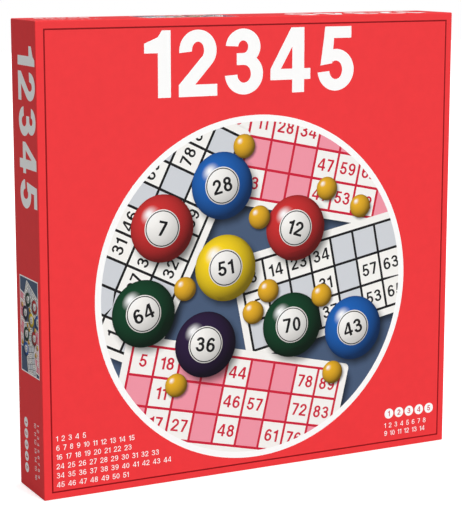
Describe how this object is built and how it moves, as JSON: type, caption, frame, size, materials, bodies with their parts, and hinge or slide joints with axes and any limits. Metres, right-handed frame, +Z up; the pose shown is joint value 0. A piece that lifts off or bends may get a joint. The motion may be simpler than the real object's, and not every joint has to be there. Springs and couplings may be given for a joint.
{
  "type": "bingo game",
  "caption": "Boxed bingo game: telescoping board case standing upright, with folded platform, markers, number cards, tally card, leaflet and spinner card inside.",
  "frame": {"origin": "middle of the underside of the closed case, standing upright", "axes": "+X to the viewer's right, +Y from the lid's panel to the base's panel, +Z up"},
  "size_m": [0.2666, 0.0382, 0.2667],
  "materials": {
    "chipboard": "raw grey chipboard",
    "lid_paper": "red printed wrap, glossy laminate",
    "base_paper": "plain red wrap, satin",
    "insert_board": "uncoated folding board",
    "marker_plastic": "translucent amber, glossy",
    "card_board": "white card, printed, satin",
    "leaflet_paper": "uncoated white paper",
    "spinner_board": "white card, printed, satin",
    "washer_plastic": "white plastic, satin",
    "fibre_washer": "brown fibre",
    "eyelet_metal": "bright brass",
    "arrow_plastic": "blue moulded plastic, semi-gloss"
  },
  "bodies": {
    "base": {"base_board": "chipboard", "base_wrap": "base_paper", "platform_insert": "insert_board"},
    "markers": {"marker_stack_01": "marker_plastic", "marker_stack_02": "marker_plastic", "marker_stack_03": "marker_plastic", "marker_stack_04": "marker_plastic", "marker_stack_05": "marker_plastic", "marker_stack_06": "marker_plastic", "marker_stack_07": "marker_plastic", "marker_stack_08": "marker_plastic", "marker_stack_09": "marker_plastic", "marker_stack_10": "marker_plastic"},
    "left_cards": {"bingo_card_left_1": "card_board", "bingo_card_left_2": "card_board", "bingo_card_left_3": "card_board", "bingo_card_left_4": "card_board", "bingo_card_left_5": "card_board", "bingo_card_left_6": "card_board", "bingo_card_left_7": "card_board"},
    "right_cards": {"bingo_card_right_1": "card_board", "bingo_card_right_2": "card_board", "bingo_card_right_3": "card_board", "bingo_card_right_4": "card_board", "bingo_card_right_5": "card_board", "bingo_card_right_6": "card_board", "bingo_card_right_7": "card_board"},
    "leaflet": {"rules_leaflet": "leaflet_paper"},
    "tally": {"tally_card": "card_board"},
    "spinner": {"spinner_card": "spinner_board", "arrow_washer": "washer_plastic", "back_washer": "fibre_washer", "spinner_eyelet": "eyelet_metal"},
    "arrow": {"spinner_arrow": "arrow_plastic"},
    "lid": {"lid_board": "chipboard", "lid_wrap": "lid_paper"}
  },
  "joints": [
    {"name": "markers_lift", "type": "slide", "parent": "base", "child": "markers", "axis": [0, -1, 0], "range_m": [0, 0.045]},
    {"name": "left_cards_lift", "type": "slide", "parent": "markers", "child": "left_cards", "axis": [0, -1, 0], "range_m": [0, 0.04]},
    {"name": "right_cards_lift", "type": "slide", "parent": "left_cards", "child": "right_cards", "axis": [0, -1, 0], "range_m": [0, 0.04]},
    {"name": "leaflet_lift", "type": "slide", "parent": "right_cards", "child": "leaflet", "axis": [0, -1, 0], "range_m": [0, 0.03]},
    {"name": "tally_lift", "type": "slide", "parent": "leaflet", "child": "tally", "axis": [0, -1, 0], "range_m": [0, 0.03]},
    {"name": "spinner_lift", "type": "slide", "parent": "tally", "child": "spinner", "axis": [0, -1, 0], "range_m": [0, 0.04]},
    {"name": "arrow_spin", "type": "hinge", "parent": "spinner", "child": "arrow", "pos_m": [0, -0.01235, 0.129], "axis": [0, -1, 0], "continuous": true},
    {"name": "lid_lift", "type": "slide", "parent": "spinner", "child": "lid", "axis": [0, -1, 0], "range_m": [0, 0.06]}
  ]
}
